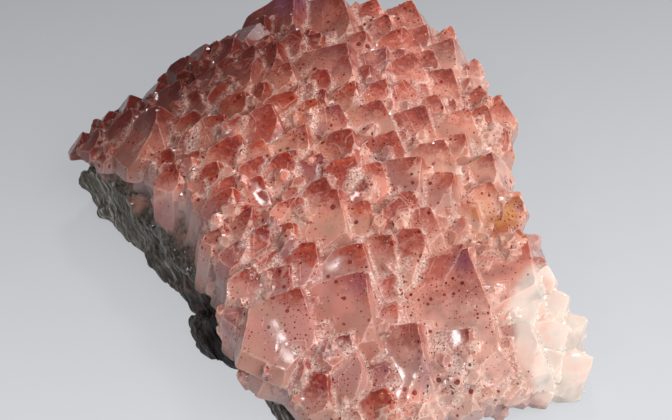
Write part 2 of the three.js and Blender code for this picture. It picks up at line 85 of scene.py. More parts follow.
MIDDLE = [
    (-5.5, 10, 5.5, -112, 0.4, 0.3), (-9, 5.8, 7.5, -121, 0.8, 0.5), (-13.5, -1.2, 6.5, -116, 0.2, 0.4),
    (-9.6, -2.6, 5, -101, 0, 0.2), (-17.6, -6.4, 6.5, -126, 0.3, 0.6), (-20.4, -2.6, 5, -136, -0.4, 0.4),
    (-10, -6.8, 5, -101, 0, 0.2), (-5.5, -7, 5.5, -111, 0.2, 0.5), (-0.4, -7.3, 6, -101, 0.2, 0.2),
    (-1.5, 7.6, 6, -116, 0.2, 0.6), (2.4, 6.6, 6, -98, 0, 0.3), (9.5, 7.8, 8.5, -108, 0.9, 0.1),
    (17, 8.4, 9, -114, 0.9, 0.1), (11.7, -0.5, 7, -118, 0.6, 0.3), (4.8, -8.3, 6, -86, 0.4, 0.2),
    (9.5, -8.6, 6.5, -111, 0.3, 0.2), (15.8, -6.6, 9, -128, 1, 0.2), (21, -8.4, 8.5, -124, 1, 0.6),
    (24.5, 10.8, 10, -104, 0.8, 0.1), (19.5, 13.6, 5.5, -111, 0, 0.4), (29, 9.4, 5, -106, 0.2, 0.5),
    (30.8, 8.6, 5.5, -98, 0.8, 0.3), (27.8, -0.2, 8, -111, 1, 0.2), (27.4, -7, 6, -86, 0.4, 0.4),
    (-3, 1, 6.5, -104, -0.2, 0.3), (4.5, -0.5, 7, -124, 0.2, 0.5), (-17, 5.5, 7.5, -126, 0.2, 0.4),
    (-21.5, 5, 5, -96, -0.6, 0.3), (20, 0.5, 7, -104, 0.2, 0.3), (23.6, 4.6, 5, -126, -0.2, 0.5),
    (0.2, 17.6, 6, -86, -0.2, 0.5), (28, 15, 5, -86, -0.2, 0.4), (-10, 14.6, 5.5, -131, -0.2, 0.5),
    (-13.4, 4.6, 5, -90, 0, 0.4), (14.4, -13.6, 4.5, -110, -0.2, 0.4), (7.6, 19.4, 5, -128, 0, 0.4),
]
LOWER_LEFT = [
    (-14.7, -14, 6, -123, 0.2, 0.6), (-11.6, -18.2, 6.5, -128, 0.2, 0.6), (-9, -14.4, 5, -103, 0, 0.2),
    (-3.4, -16.8, 7, -82, 0.6, 0.3), (-8.8, -21.6, 5.5, -108, 0, 0.5), (-12.2, -23.4, 5, -128, -0.4, 0.4),
    (-4.8, -22, 6, -123, 0.2, 0.5), (-7.6, -26, 5, -83, -0.2, 0.3), (-10.4, -28.4, 7, -98, 0, 0.2),
    (-1.6, -25.6, 6.5, -116, 0.4, 0.5), (-5, -29, 6, -113, 0, 0.3), (-12, -33, 5, -118, -1, 0.3),
    (2.6, -16.3, 9.5, -114, 1.4, 0.1), (7, -17, 5.5, -108, 0.2, 0.1), (12.3, -16, 6, -76, 0.2, 0.3),
    (-14.6, -10, 5, -108, -0.4, 0.4), (0.4, -12, 5, -103, -0.4, 0.3), (6.8, -12.6, 5, -128, -0.4, 0.5),
    (-15.6, -19.4, 4.5, -130, -0.8, 0.5), (-10.2, -10.6, 4.5, -90, -0.3, 0.5),
]
FRONT = [
    (22.8, -25.4, 21, -120, 3.2, 0.05), (6, -25.6, 9, -114, 0.7, 0.3),
    (15.2, -21.4, 9.5, -122, 0.6, 0.6), (10.8, -22.4, 6.5, -122, -0.6, 0.2),
    (16.8, -16.8, 6, -106, 0.5, 0.1), (11.6, -28.4, 5, -96, -1.6, 0.4), (6.4, -31.2, 13, -122, 1.6, 0.25),
    (-3.6, -33.3, 11.5, -112, 1, 0.15), (14.6, -38, 12.5, -122, 1.8, 0.5),
    (22.3, -38.4, 9.5, -118, 3.4, 0.4), (4.2, -40.6, 10.5, -112, 1.6, 0.45),
    (32.3, -33.8, 9.5, -118, 2.8, 0.5), (15.8, -45, 7, -130, 0.4, 0.4), (-3.5, -41.6, 7, -115, 0.4, 0.4),
    (10, -43.2, 6, -96, 0, 0.3), (32.6, -17.4, 14, -126, 1.6, 0.05), (22.4, -22.2, 5.5, -136, 0.2, 0.6),
    (29.6, -15, 8.5, -118, 0.4, 0.05), (24.6, -12.4, 6, -106, -0.4, 0.3), (32, -8.4, 5, -86, 1.4, 0.5),
    (36, -20.4, 4.5, -81, 0.6, 0.5), (28.6, -26.8, 7, -110, -0.6, 0.3), (27.4, -38.6, 6.5, -106, 0, 0.5),
    (-6.8, -40.4, 5.5, -126, -0.6, 0.4), (-8.6, -36.6, 5.5, -136, -0.6, 0.4),
    (9.4, -46.4, 6.5, -91, 0, 0.4), (0.6, -45, 7, -106, 0, 0.3), (22, -43, 7, -96, 0, 0.4),
    (29.6, -37.6, 7, -101, -0.2, 0.3), (0.8, -37.2, 5, -101, -0.6, 0.4), (19.2, -32.4, 5, -100, -1.6, 0.3),
    (11.2, -33.4, 4.5, -85, -0.8, 0.5),
]
MILKY_CORNER = [
    (34.6, -23.5, 6.5, -120, 0.4, 0.3), (39.6, -24.6, 7, -140, 0.8, 0.6), (42.6, -27.4, 8, -150, 1, 0.8),
    (34, -28.4, 8, -130, 0.4, 0.4), (39, -30.4, 9, -120, 1.2, 0.6), (43, -33.4, 9.5, -130, 1, 0.8),
    (37.6, -35, 9, -115, 0.6, 0.7), (33.4, -37.4, 6.5, -125, -0.4, 0.5),
]

GROUPS = [  # with how far their crystals fan outwards
    (LEFT_CORNER, 0.4), (BACK_LEFT, 0.2), (BACK_RIGHT, 0.1), (MIDDLE, 0.15), (LOWER_LEFT, 0.25),
    (FRONT, 0.15), (MILKY_CORNER, 0.9),
]
PLACED = sum(len(group) for group, _ in GROUPS)
GROWTH = np.array([0.3, 0.36, 1.0])  # the way that all crystals lean
PLATE = {"middle": (0.0, -2.0), "half": (46.0, 52.0)}  # half the width and length
PLAN = np.array([  # the outline of the crust at its tips, clockwise from the left corner
    (-42.5, 14), (-39, 19), (-31.5, 24), (-23, 30), (-15, 37), (-8.5, 43), (-1.5, 47.5), (8, 49),
    (16.5, 49), (22, 44.5), (26.6, 36), (29.2, 26), (33, 20), (32.4, 12), (30.4, 5), (29.5, -1),
    (32, -8), (34.5, -15), (38, -20), (42.5, -25.5), (44, -32), (41.5, -36), (35, -38.5),
    (28, -41.5), (20.5, -45.5), (12, -48.5), (5, -49.5), (-2, -46.5), (-7, -41.5), (-10.5, -35),
    (-13, -28), (-16.5, -21), (-17.5, -13.5), (-22, -7.5), (-28, 0), (-36, 7),
])
SLOPE = 1.27  # how steeply a crystal's end faces fall
# The seam between crystals and rock: its height under the crest, its share of the dome's fall, and
# its slope at the left, with the x that it starts from.
BEDDING = {"height": 11.0, "fall": 0.42, "left_rise": 0.13, "left_from": -14.0}
# Small crystals: the pitch of their grid, how far they stray from it, their widths, how far their
# tips sink below the dome, and how far they fan outwards.
FILL = {"pitch": 3.6, "jitter": 1.1, "widths": (2.4, 4.0), "sunk": (1.2, 2.8), "fan": 0.15}
COLUMNS = 110  # columns round the whole rim, before the milky corner's are left out
VALLEY_CRYSTALS = {"number": 220, "smallest": 1.2, "largest": 2.8}
BARE_CORNER = (40.0, -30.0, 10.0)  # x, y and radius: only placed crystals grow there
MILKY_SIDES = (18, 21)  # the first and the last side of the plan along the milky corner
FIRST_CELL = 0.9  # the spacing of the first skin, which shows where the valleys are
CELL = 0.52  # the spacing of the skin that the crystals grow together in
SNAP = {"face": 0.45, "edge": 0.32}  # how close a corner of the skin has to be to be moved
PRESSED = {"depth": 5.5, "share": 0.85}  # how far the solid's own tips are pressed down, out of sight
CRUST_REST = 0.2  # the least height of the crust over the floor
COLOUR_DEPTH = 2.2  # how deep under a crystal's face its colour lies
SMOOTH_BELOW = 25.0  # degrees: facets that meet at less than this are shaded as one
FIBRES = np.array([0.48, -0.38, -0.79])  # the way that the rock's fibres run
ROCK_SIDE = 0.8  # the longest side that a triangle of the rock may have

# Round specks in four sizes: the cell that holds one, its least and greatest radius, its share.
SPECKS = [
    (0.5, 0.08, 0.17, 0.9), (0.75, 0.09, 0.2, 0.7), (1.3, 0.16, 0.36, 0.8), (2.3, 0.25, 0.55, 0.8),
]
# White specks that are partly frost and partly painted glints.
FROST_GLINT_SPECK = (0.36, 0.04, 0.13)  # the same for frosty glints
# Coloured patches: centre, radius and strength.
VIOLET_PATCHES = [
    ((21.6, -27.8, 22.8), 3.4, 0.8), ((16, -45, 16), 5, 0.7), ((5.5, -33, 22), 3.5, 0.4),
    ((-6, 44, 24), 9, 1.0),
]
STAINED_PATCHES = [((29, -14, 18), 8, 1.0), ((-22, -18, 13), 7, 1.0)]

# Area lights: name, place, aim, size, power in watts, and whether glossy faces mirror them.
LAMPS = [
    ("key", (300, -300, 430), (10, -10, 10), (520, 520), 4.1, False),
    ("glint", (20, 380, 400), (0, 0, 10), (90, 50), 0.8, True),
    ("spark", (-260, -160, 380), (0, 0, 10), (60, 60), 0.3, True),
    ("side", (460, 60, 260), (0, 0, 10), (300, 200), 0.8, True),
]
FLOOR = {"half": 2500.0, "drop": 0.05}

# ---- Colours ----
PALE = "#e3b5a4"
ROSE = "#cf8775"
PEACH = "#cd8f70"
LILAC = "#b28481"
MAUVE = "#a8737a"
BRICK = "#992b1a"
ORANGE = "#b9491f"
CRIMSON = "#992c34"
DEEP_BRICK = "#55160c"
PLUM = "#6e3344"
VIOLET = "#73405c"
MAROON = "#451013"
RED_SPOT = "#941d12"
CREAM = "#f6dfd0"
VALLEY = "#c9a396"
FROST_GLINT = "#fff6f2"
MILK = "#e9d9ce"
BLUSH = "#dfbfb2"
WALL = "#b89995"
SMOKY_WALL = "#625852"
SMOKE = "#3a3029"
ASH = "#7f776b"
STAIN = "#c98a4a"
WHITE = "#ffffff"
INSIDE = "#e9b8ac"  # what light turns to on its way through the quartz
ROCK_BROWN = "#261b17"
ROCK_GREY = "#5f5048"
ROCK_GREEN = "#6c6b60"
SILVER = "#bcb4ab"
ROCK_BLACK = "#1d1412"
LUMP = "#1a1110"
RUST = "#7c4424"
FLOOR_DARK = "#7b7c80"
FLOOR_PALE = "#d2d4d7"
FLOOR_BASE = "#5a5b5d"
SKY = "#dfe3ea"


def linear(hex_colour):
    """A colour like "#c98378" as linear red, green, blue and alpha."""
    parts = [int(hex_colour[i : i + 2], 16) / 255 for i in (1, 3, 5)]
    return tuple(c / 12.92 if c <= 0.04045 else ((c + 0.055) / 1.055) ** 2.4 for c in parts) + (1.0,)


# ---- Shader arithmetic ----
class Wire:
    """A shader socket that takes part in Python sums. Each operator adds the Math node it needs."""

    def __init__(self, tree, socket=None):
        self.tree = tree
        self.socket = socket

    def add(self, kind, inputs=(), settings=(), output=0):
        """A node of any kind: its settings come first, then the values or wires of its sockets."""
        node = self.tree.nodes.new("ShaderNode" + kind)
        for name, value in dict(settings).items():
            setattr(node, name, value)
        for name, value in dict(inputs).items():
            if isinstance(value, Wire):
                self.tree.links.new(value.socket, node.inputs[name])
            else:
                node.inputs[name].default_value = value
        return Wire(self.tree, node.outputs[output]) if len(node.outputs) else None

    def output(self, name):
        """Another output of the node that this wire comes from."""
        return Wire(self.tree, self.socket.node.outputs[name])

    def maths(self, operation, *values):
        return self.add("Math", dict(enumerate(values)), {"operation": operation})

    def __add__(self, other):
        return self.maths("ADD", self, other)

    def __sub__(self, other):
        return self.maths("SUBTRACT", self, other)

    def __rsub__(self, other):
        return self.maths("SUBTRACT", other, self)

    def __mul__(self, other):
        return self.maths("MULTIPLY", self, other)

    __radd__ = __add__
    __rmul__ = __mul__

    def greatest(self, other):
        """This number or another, whichever is larger."""
        return self.maths("MAXIMUM", self, other)

    def rise(self, low, high):
        """0 below low, 1 above high and a smooth step between. With low over high it falls instead."""
        ends = {"Value": self, "From Min": low, "From Max": high}
        return self.add("MapRange", ends, {"interpolation_type": "SMOOTHSTEP"})

    def vector(self, operation, *values, output=0):
        return self.add("VectorMath", dict(enumerate(values)), {"operation": operation}, output)

    def mix(self, one, two, amount):
        """A mix of two colours, each a hex text or a wire, by an amount from 0 to 1. The colours go into
        the Mix node's sockets 6 and 7."""
        inputs = {"Factor": amount}
        for socket, colour in ((6, one), (7, two)):
            inputs[socket] = linear(colour) if isinstance(colour, str) else colour
        return self.add("Mix", inputs, {"data_type": "RGBA", "clamp_factor": True}, output=2)

    def tinted(self, colour, amount):
        """This colour, mixed towards another by an amount from 0 to 1."""
        return self.mix(self, colour, amount)

    def noise(self, size, detail=2.0, roughness=0.5, shift=0.0):
        """Noise on this position, in mm, with features of about that size, mostly 0.25 to 0.75."""
        moved = self.vector("ADD", self, (shift, shift, shift))
        inputs = {"Vector": moved, "Scale": 1 / size, "Detail": detail, "Roughness": roughness}
        return self.add("TexNoise", inputs)

    def fibres(self):
        """Fine noise on this position, in mm, with distances along the rock's fibres shrunk to a tenth,
        which draws it out along them."""
        way = tuple(FIBRES)
        run = self.vector("DOT_PRODUCT", self, way, output="Value") * 0.9
        along = self.add("CombineXYZ", {"X": run, "Y": run, "Z": run})
        drawn = self.vector("SUBTRACT", self, along.vector("MULTIPLY", along, way))
        return drawn.noise(0.5, 3.0, 0.6, shift=3.0)

    def near(self, centre, radius, soft=0.5):
        """1 at a place, in mm, and 0 past a radius from it. soft is the share of the radius that fades."""
        away = self.vector("DISTANCE", self, centre, output="Value")
        return away.rise(radius, radius * (1 - soft))

    def patches(self, rows):
        """The strongest of some soft patches. Each row is a patch's centre, radius and strength."""
        shown = 0.0
        for centre, radius, strength in rows:
            shown = self.maths("MAXIMUM", shown, self.near(centre, radius, 0.8) * strength)
        return shown

    def dots(self, cell, smallest, largest, crowd):
        """Round specks, one at most in each cell, in mm. crowd, from 0 to 1, is the share of cells that
        hold one. Gives 1 inside a speck, and a random number of the cell."""
        node = self.add("TexVoronoi", {"Vector": self, "Scale": 1 / cell, "Randomness": 1.0})
        parts = self.add("SeparateColor", {"Color": node.output("Color")})
        size = parts * parts * (largest - smallest) + smallest
        present = (crowd - parts.output("Green")).rise(0.0, 0.02)
        return (size - node * cell).rise(-0.02, 0.04) * present, parts.output("Blue")


def new_material(name):
    """An empty material and the wire that its nodes start from."""
    material = bpy.data.materials.new(name)
    material.use_nodes = True
    material.node_tree.nodes.clear()
    return material, Wire(material.node_tree)


def place_in_mm(start):
    """The place on a piece, in mm, and its x, y and z."""
    place = start.vector("MULTIPLY", start.add("TexCoord", output="Object"), (1 / MM, 1 / MM, 1 / MM))
    x = start.add("SeparateXYZ", {"Vector": place})
    return place, x, x.output("Y"), x.output("Z")


# ---- Meshes ----
def unit(vectors):
    """Vectors along the last axis of an array, made one long."""
    return vectors / np.maximum(np.linalg.norm(vectors, axis=-1, keepdims=True), 1e-12)


def linked(name, data):
    """A new object in the scene that shows a mesh, a light or a camera."""
    piece = bpy.data.objects.new(name, data)
    bpy.context.scene.collection.objects.link(piece)
    return piece


def merged_copy(node, name):
    """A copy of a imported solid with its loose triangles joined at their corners."""
    shape = bmesh.new()
    shape.from_mesh(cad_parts[node].data)
    bmesh.ops.remove_doubles(shape, verts=shape.verts, dist=2e-6)
    bmesh.ops.dissolve_degenerate(shape, edges=shape.edges, dist=2e-6)
    mesh = bpy.data.meshes.new(name)
    shape.to_mesh(mesh)
    shape.free()
    return linked(name, mesh)


def solid_arrays(mesh):
    """The corners of a mesh, in mm, and its triangles as rows of three corner numbers."""
    points = np.empty(len(mesh.vertices) * 3)
    mesh.vertices.foreach_get("co", points)
    mesh.calc_loop_triangles()
    triangles = np.empty(len(mesh.loop_triangles) * 3, int)
    mesh.loop_triangles.foreach_get("vertices", triangles)
    return points.reshape(-1, 3) / MM, triangles.reshape(-1, 3)


def mesh_from(name, points, triangles):
    """A mesh of corners, in mm, and triangles."""
    mesh = bpy.data.meshes.new(name)
    mesh.from_pydata(points * MM, [], triangles)
    mesh.update()
    return mesh


def point_normals(points, triangles):
    """Each corner's normal: the sum of its faces' cross products, so a large face counts for more."""
    one, two, three = (points[triangles[:, i]] for i in range(3))
    across = np.cross(two - one, three - one)
    total = np.zeros_like(points)
    for corner in range(3):
        np.add.at(total, triangles[:, corner], across)
    return unit(total)


def edge_table(triangles):
    """The edges of a solid as pairs of corners, and the edge of each side of each triangle."""
    sides = np.sort(triangles[:, [0, 1, 1, 2, 2, 0]].reshape(-1, 2), axis=1)
    edges, which = np.unique(sides, axis=0, return_inverse=True)
    return edges, which.reshape(-1, 3)


# How a triangle is cut, by which of its sides are halved. Corners are 0 to 2 and the middles of
# sides 0-1, 1-2 and 2-0 are 3 to 5.
CUTS = [
    [(0, 1, 2)],
    [(0, 3, 2), (3, 1, 2)],
    [(0, 1, 4), (0, 4, 2)],
    [(3, 1, 4), (0, 3, 4), (0, 4, 2)],
    [(0, 1, 5), (5, 1, 2)],
    [(0, 3, 5), (3, 1, 5), (1, 2, 5)],
    [(4, 2, 5), (0, 1, 4), (0, 4, 5)],
    [(0, 3, 5), (3, 1, 4), (5, 4, 2), (3, 4, 5)],
]


def refined(points, triangles, longest, lowest, passes=6):
    """Halves every side that is longer than a limit, in mm, and whose middle is over a height, until
    none is left."""
    for _ in range(passes):
        edges, which = edge_table(triangles)
        ends = points[edges]
        middles = ends.mean(1)
        split = (np.linalg.norm(ends[:, 0] - ends[:, 1], axis=1) > longest) & (middles[:, 2] > lowest)
        if not split.any():
            break
        added = np.full(len(edges), -1)
        added[split] = len(points) + np.arange(split.sum())
        points = np.vstack([points, middles[split]])
        pattern = split[which] @ np.array([1, 2, 4])
        numbers = np.hstack([triangles, added[which]])
        triangles = np.vstack([numbers[pattern == p][:, cut] for p, cuts in enumerate(CUTS) for cut in cuts])
    return points, triangles


def relaxed(points, triangles, rounds, share=0.5):
    """Moves every corner part of the way to the average of its neighbours, a number of times."""
    one, two = edge_table(triangles)[0].T
    number = len(points)
    count = np.bincount(one, minlength=number) + np.bincount(two, minlength=number)
    for _ in range(rounds):
        total = [
            np.bincount(one, points[two, axis], number) + np.bincount(two, points[one, axis], number)
            for axis in range(3)
        ]
        points = points + share * (np.stack(total, axis=1) / np.maximum(count, 1)[:, None] - points)
    return points


def ripples(points, size, seed, waves=28):
    """Smooth noise from about -1 to 1: the sum of plane sine waves of about one length, in mm, that run
    in random directions with random starts."""
    dice = np.random.default_rng(seed)
    ways = dice.normal(size=(3, waves))
    ways /= np.linalg.norm(ways, axis=0)
    lengths = size * dice.uniform(0.7, 1.5, waves)
    turns = points @ (ways * 2 * np.pi / lengths) + dice.uniform(0, 2 * np.pi, waves)
    return np.sin(turns).sum(1) / math.sqrt(waves)


def fibrous(points, fine, coarse):
    """Relief that is drawn out along the rock's fibres: two smooth noises, each times its height in mm,
    on positions whose distances along the fibres are shrunk to about a seventh."""
    drawn = points - 0.86 * (points @ FIBRES)[:, None] * FIBRES
    return fine * ripples(drawn, 0.9, 8) + coarse * ripples(drawn, 2.2, 9)


def warped(points):
    """Bends straight growth out of true: each corner moves by three smooth noises, one an axis, that
    fade out over the lowest 6 mm."""
    drift = np.stack([ripples(points, 10.0, seed, 16) for seed in (21, 22, 23)], axis=1)
    fade = np.clip(points[:, 2:] / 6, 0, 1)
    return points + drift * [0.25, 0.25, 0.2] * fade


def write(mesh, name, kind, domain, values):
    """An attribute of a mesh: kind is FLOAT or FLOAT_VECTOR, domain is POINT, CORNER or FACE."""
    key = "value" if kind == "FLOAT" else "vector"
    values = np.ascontiguousarray(values, float).ravel()
    mesh.attributes.new(name, kind, domain).data.foreach_set(key, values)


# ---- Finishes ----
def quartz_finish():
    """Hematite-tinted quartz: brick red at the tips, pale pink to mauve below, cream in the valleys."""
    material, start = new_material("strawberry_quartz")

    def told(name, output="Fac"):
        """An attribute of the mesh."""
        return start.add("Attribute", settings={"attribute_name": name}, output=output)

    place, x, y, z = place_in_mm(start)
    inner = told("inner", "Vector")  # the place under the surface that shows through each face
    blush, chance, spots, size = told("blush"), told("chance"), told("spots"), told("size")
    gap, ridge, rocky = told("gap"), told("ridge"), told("rocky")
    buried, edge = told("buried"), told("edge")

    # The dome through the crystal tips, and how far below it a place is.
    left = x.maths("LESS_THAN", x, CREST[0])
    across = left * SAG["left"] + (1 - left) * SAG["right"]
    off_x, off_y = x - CREST[0], y - CREST[1]
    front, back = off_y.maths("MINIMUM", off_y, 0.0), off_y.greatest(0.0)
    dome = TIP_HEIGHT - across * off_x * off_x - SAG["front"] * front * front - SAG["back"] * back * back
    under = dome - z

    # Noise inside the crystals, from coarse to fine, in curtains that hang down, and on the surface.
    cloud = inner.noise(4.5)
    haze = inner.noise(1.5, shift=20.0)
    blot = inner.noise(1.1, roughness=0.6, shift=160.0)
    grain = inner.noise(0.5, roughness=0.6, shift=140.0)
    curtain = inner.vector("MULTIPLY", inner, (1.0, 1.0, 0.18)).noise(0.9, 1.0, shift=5.0)
    region = place.noise(22.0, 1.0, shift=50.0)
    fine = place.noise(0.35, roughness=0.6, shift=35.0)

    # Parts of the crust: its back left, darkened with painted shade, milky corner, lilac front, its right,
    # made paler with painted light, large crystals, and the wall below the tips along the rim.
    # shade is painted shade, strongest at the back left; lit and light are the share of light left there.
    shade = place.near((-38, 38, 20), 52, 0.7)
    lit = 1 - shade
    light = 1 - shade * 0.85
    corner = (place.near((42, -31, 10), 17, 0.4) + (cloud - 0.5) * 0.5).rise(0.3, 0.7)
    lilac = place.near((0, -38, 18), 20, 0.6)
    # right is painted light: the right side is made paler and less red, as where more light falls.
    right = x.rise(-6.0, 26.0)
    large = size.rise(11.0, 20.0)
    wall = (under + (cloud - 0.5) * 4.0 + (haze - 0.5) * 2.0).rise(2.5, 5.5) * (1 - corner)
    wall = wall * edge.rise(5.5, 3.0).greatest(under.rise(7.0, 9.5))

    # The body of each crystal.
    colour = start.mix(PALE, ROSE, (cloud + (chance - 0.5) * 0.3).rise(0.22, 0.58))
    peach = (region + (haze - 0.5) * 0.4).rise(0.45, 0.62) * (1 - lilac) * lit * (0.5 - large * 0.45)
    mauve = (chance + (blot - 0.5) * 0.8).rise(0.55, 0.9) * cloud.rise(0.65, 0.4) * lit * 0.6
    # The last tint, brick at the back left, is painted shade.
    for tint, amount in (
        (PEACH, peach), (LILAC, lilac * cloud.rise(0.3, 0.6) * 0.85), (MAUVE, mauve),
        (PALE, right * (1 - large) * 0.45), (ROSE, large * 0.75),
        (BLUSH, place.near((26, -40, 13), 21, 0.7) * 0.5), (BRICK, shade * 0.75),
    ):
        colour = colour.tinted(tint, amount)

    # Its coloured tip: blush is 0 at the tip and 1 where the colour ends.
    warm = blush + (cloud - 0.5) * 1.1 + (haze - 0.5) * 0.8 + (curtain - 0.5) * 0.8 + (grain - 0.5) * 0.9
    broad = size.rise(2.2, 5.5)
    # The tips' red fades on the right: painted light.
    red = warm.rise(1.12, 0.22) * (1 - large * 0.15) * (broad * 0.5 + 0.5) * (1 - right * 0.2)
    orange = region * 0.8 + chance * 0.3 + (blot - 0.5) * 0.9 - large * 0.2
    hue = start.mix(BRICK, ORANGE, orange.rise(0.45, 0.8))
    hue = hue.tinted(CRIMSON, (haze + (region - 0.5) * 0.5).rise(0.48, 0.62) * lit * 0.45)
    hue = hue.tinted(PLUM, chance.rise(0.75, 0.9) * cloud.rise(0.35, 0.6) * lit * 0.8)
    # Painted shade: the tips turn deep brick at the back left.
    hue = hue.tinted(DEEP_BRICK, shade * 0.85)
    colour = colour.tinted(hue, red * (curtain.rise(0.25, 0.65) * 0.3 + 0.68))
    deep = warm.rise(0.65, 0.0) * (haze + (grain - 0.5) * 0.6).rise(0.35, 0.6)
    deep = deep * (0.8 - large * 0.35) * broad
    colour = colour.tinted(hue.tinted(DEEP_BRICK, 0.6), deep)
    # Painted shade: deep brick over the upper parts of the back left.
    colour = colour.tinted(DEEP_BRICK, shade * (under.rise(10.0, 4.0) * 0.9))
    colour = colour.tinted(VIOLET, place.patches(VIOLET_PATCHES) * cloud.rise(0.35, 0.55) * 0.8)

    # Milky valleys with wisps along them, whose fine glitter is painted sparkle, pale lines where a hidden
    # crystal begins, and pale lines along the edges, which are painted highlights. All of them are dimmed by
    # the painted shade at the back left.
    glitter = fine.rise(0.42, 0.6)
    soft = (haze - 0.5) * 1.2 + (cloud - 0.5) * 0.8
    valley = (gap + soft).rise(0.75, -0.1) * (1 - corner * 0.8)
    colour = colour.tinted(start.mix(VALLEY, CREAM, glitter), valley * (glitter * 0.3 + 0.5) * light)
    colour = colour.tinted(WALL, valley * haze.rise(0.55, 0.4) * lit * 0.25)
    veil = buried.maths("PINGPONG", buried + (haze - 0.5) * 0.1, 0.9).rise(0.8, 0.87)
    veil = veil * buried.rise(3.4, 2.4)
    colour = colour.tinted(CREAM, veil * cloud.rise(0.47, 0.56) * light * 0.25)
    # Painted highlights: pale lines along the crystals' edges.
    colour = colour.tinted(CREAM, ridge.rise(0.22, 0.0) * (curtain.rise(0.35, 0.6) * 0.4 * light))

    # The milky corner, two stains, and the wall, which turns smoky and then fibrous towards the rock.
    colour = colour.tinted(start.mix(MILK, BLUSH, cloud.rise(0.45, 0.75)), corner)
    stain = inner.noise(2.5, shift=80.0).rise(0.4, 0.6)
    colour = colour.tinted(STAIN, place.patches(STAINED_PATCHES) * stain * 0.8)
    foot = (under + (cloud - 0.5) * 6.0 + (curtain - 0.5) * 3.0).rise(5.5, 10.0)
    colour = colour.tinted(start.mix(WALL, SMOKY_WALL, foot), wall * 0.9)
    colour = colour.tinted(PALE, wall * (grain + (blot - 0.5) * 0.8).rise(0.58, 0.72) * 0.4)
    colour = colour.tinted(SMOKE, (under + (blot - 0.5) * 4.0).rise(9.0, 12.0) * (1 - corner) * 0.85)
    fibre = place.fibres()
    smoke = start.mix(SMOKE, ASH, fibre.rise(0.4, 0.7))
    colour = colour.tinted(smoke, rocky * (fibre.rise(0.2, 0.5) * 0.3 + 0.7) * (1 - corner))

    # Frosty glitter in patches: white specks, partly frosty grains and partly painted glints, dimmed by the
    # painted shade. Then hematite specks.
    frosty = inner.noise(5.0, shift=170.0).rise(0.52, 0.62) * 0.14 + valley * 0.45
    frost_glints, _ = place.dots(*FROST_GLINT_SPECK, frosty * light)
    colour = colour.tinted(FROST_GLINT, frost_glints * 0.75)
    crowd = inner.noise(6.0, 1.0, shift=110.0).rise(0.4, 0.6) * 0.55 + spots * 0.55
    crowd = crowd * (blush + (haze - 0.5) * 2).rise(5.0, 1.5) * (1 - corner) * (1 - wall)
    specks = 0.0
    for *sizes, share in SPECKS:
        mask, pick = inner.dots(*sizes, crowd * share)
        colour = colour.tinted(start.mix(RED_SPOT, MAROON, pick), mask * 0.85)
        specks = mask.greatest(specks)

    # Low waves on the faces, then cloudy quartz with clear quartz mixed in.
    waves = inner.noise(1.6, 1.0) * 0.35 + curtain * 0.2 + (valley * 2.4 + (1 - corner) * 0.1) * fine
    shared = {
        "Roughness": haze * 0.22 + 0.04, "IOR": 1.544,
        "Normal": start.add("Bump", {"Strength": 0.5, "Distance": 0.1 * MM, "Height": waves}),
    }
    cloudy = start.add("BsdfPrincipled", {
        "Base Color": colour, **shared,
        "Subsurface Weight": 1.0, "Subsurface Radius": (1.0, 0.7, 0.6), "Subsurface Scale": 0.7 * MM,
    })
    clear = start.add("BsdfPrincipled", {
        "Base Color": colour.tinted(WHITE, 0.4), **shared, "Transmission Weight": 1.0,
    })
    clearness = (1 - red * 0.7) * (1 - valley * 0.7) * (1 - specks)
    clearness = clearness * cloud.rise(0.65, 0.35) * (1 - wall * 0.7) * 0.34
    surface = start.add("MixShader", {0: clearness, 1: cloudy, 2: clear})
    inside = start.add("VolumeAbsorption", {"Color": linear(INSIDE), "Density": 50.0})
    start.add("OutputMaterial", {"Surface": surface, "Volume": inside})
    return material


def rock_finish():
    """Host rock: grey-green to brown-black, drawn out in silky fibres, with rust spots on its edge."""
    material, start = new_material("host_rock")
    place, x, _, _ = place_in_mm(start)
    fibre = place.fibres()
    patch = place.noise(9.0, 3.0, 0.6, shift=30.0)
    grain = place.noise(0.7, 3.0, 0.6)
    green = (x * -0.04 + patch).rise(1.2, 1.9)
    colour = start.mix(ROCK_BROWN, ROCK_GREY, fibre.rise(0.25, 0.75))
    colour = colour.tinted(ROCK_GREEN, green * fibre.rise(0.3, 0.55) * 0.7)
    # Silvery streaks along the fibres: partly the fibres' own pale colour, partly painted sheen.
    colour = colour.tinted(SILVER, fibre.rise(0.5, 0.66) * patch.rise(0.36, 0.56) * 0.7)
    colour = colour.tinted(ROCK_BLACK, patch.rise(0.44, 0.3) * 0.8)
    colour = colour.tinted(LUMP, place.near((-17, -24, 5), 17, 0.6) * 0.85)
    rust = grain.rise(0.62, 0.75) * patch.rise(0.5, 0.65)
    rust = rust.greatest(grain.rise(0.5, 0.66) * place.near((-21, -18, 5), 8, 0.7))
    colour = colour.tinted(RUST, rust * 0.8)
    height = fibre * 0.7 + grain * 0.6
    normal = start.add("Bump", {"Strength": 0.55, "Distance": 0.35 * MM, "Height": height})
    rough = 0.75 - fibre * 0.45
    surface = start.add("BsdfPrincipled", {"Base Color": colour, "Roughness": rough, "Normal": normal})
    start.add("OutputMaterial", {"Surface": surface})
    return material


# ---- Crystals ----
def tip_height(x, y):
    """The dome through the crystal tips: it falls away from its crest with the square of the distance."""
    off_x, off_y = x - CREST[0], y - CREST[1]
    side = np.where(off_x < 0, SAG["left"], SAG["right"])
    front, back = np.minimum(off_y, 0), np.maximum(off_y, 0)
    return TIP_HEIGHT - side * off_x**2 - SAG["front"] * front**2 - SAG["back"] * back**2


def bedding(x, y):
    """The seam between crystals and rock: it follows the dome at less than half its fall, and rises
    in a straight slope towards the left edge."""
    left = BEDDING["left_rise"] * np.maximum(BEDDING["left_from"] - x, 0)
    return BEDDING["height"] + BEDDING["fall"] * (tip_height(x, y) - TIP_HEIGHT) + left


